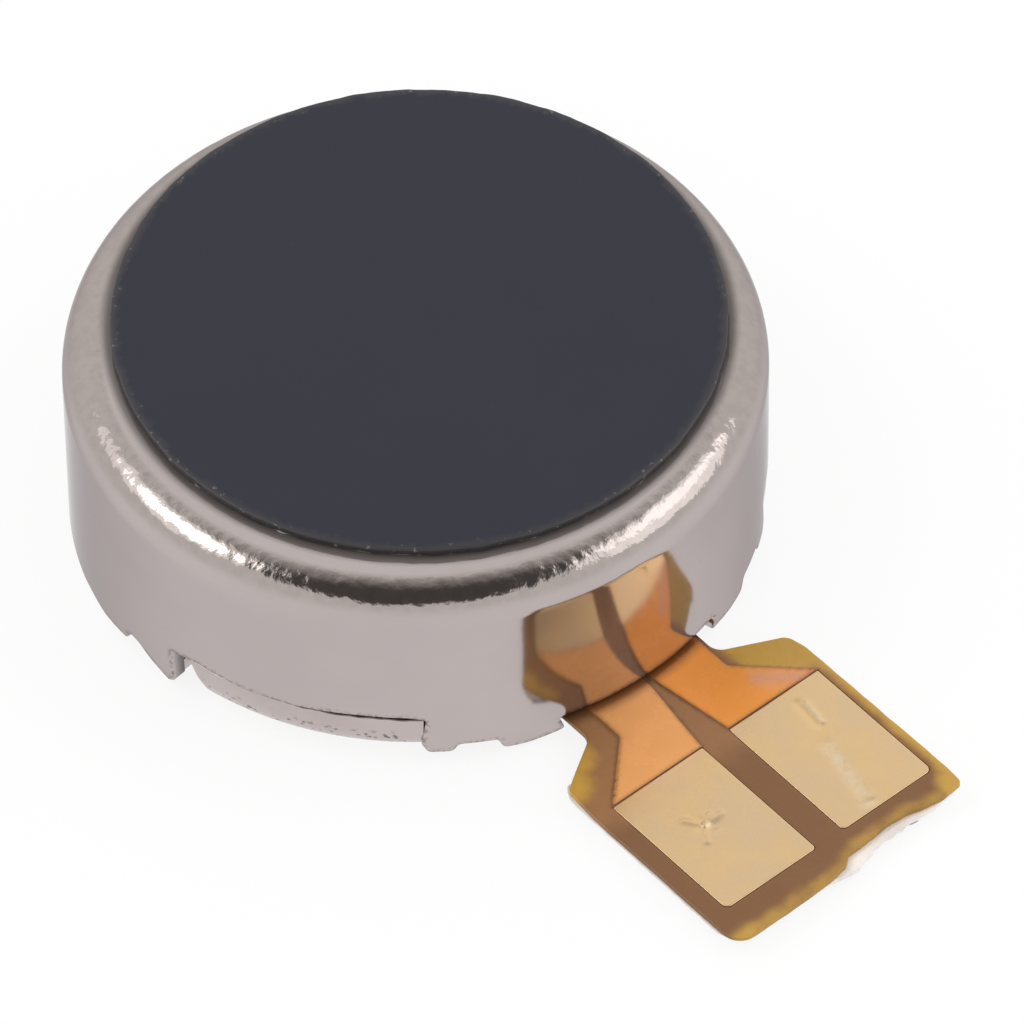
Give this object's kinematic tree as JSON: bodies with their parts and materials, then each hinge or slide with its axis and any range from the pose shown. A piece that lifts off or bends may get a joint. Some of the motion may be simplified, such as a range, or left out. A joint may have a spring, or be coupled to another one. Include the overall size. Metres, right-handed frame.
{
  "type": "coin vibration motor",
  "caption": "Coin vibration motor: an eccentric rotor spins on a fixed shaft in a round steel case, with brushes, ring magnet and a flat flexible tail with contact pads.",
  "frame": {"origin": "on the motor axis, at the underside of the bracket that the motor rests on", "axes": "+Z along the shaft towards the black pad, +X along the flexible tail"},
  "size_m": [0.0145, 0.01, 0.0035],
  "materials": {
    "nickel_case": "drawn steel, satin nickel plate, polished shoulder",
    "bracket_steel": "stamped stainless sheet",
    "shaft_steel": "ground and polished steel pin",
    "washer_film": "black wear-resistant plastic",
    "magnet_nickel": "nickel-plated rare-earth magnet",
    "clear_glue": "cured clear adhesive",
    "cogging_steel": "thin cold-rolled steel",
    "amber_film": "translucent amber polyimide film",
    "copper_trace": "etched copper under an amber film",
    "gold_pad": "gold-plated copper, satin",
    "stiffener_film": "polyimide stiffener",
    "tail_glue": "clear pressure-sensitive adhesive",
    "brush_alloy": "gold-clad spring strip",
    "solder": "bright tin solder",
    "black_film": "charcoal foam pad with a satin skin",
    "sintered_bronze": "oil-filled sintered bronze",
    "rotor_resin": "cream moulding resin",
    "tungsten": "sintered tungsten alloy",
    "board_laminate": "green glass-fibre laminate",
    "coil_wire": "enamelled copper wire"
  },
  "bodies": {
    "stator": {"case": "nickel_case", "bracket": "bracket_steel", "shaft": "shaft_steel", "lower_washer": "washer_film", "upper_washer": "washer_film", "ring_magnet": "magnet_nickel", "magnet_adhesive": "clear_glue", "cogging_plate": "cogging_steel", "flex_base_film": "amber_film", "flex_cover_film": "amber_film", "flex_trace_positive": "copper_trace", "flex_trace_negative": "copper_trace", "contact_pad_positive": "gold_pad", "contact_pad_negative": "gold_pad", "tail_stiffener": "stiffener_film", "tail_adhesive": "tail_glue", "brush_positive": "brush_alloy", "brush_negative": "brush_alloy", "brush_solder": "solder", "top_pad": "black_film", "top_pad_adhesive": "clear_glue"},
    "rotor": {"bearing": "sintered_bronze", "rotor_resin": "rotor_resin", "counterweight": "tungsten", "commutator_board": "board_laminate", "commutator_segments": "gold_pad", "coil_a": "coil_wire", "coil_b": "coil_wire", "coil_solder": "solder"}
  },
  "joints": [
    {"name": "rotor_spin", "type": "hinge", "parent": "stator", "child": "rotor", "pos_m": [0, 0, 0.002], "axis": [0, 0, 1], "continuous": true}
  ]
}
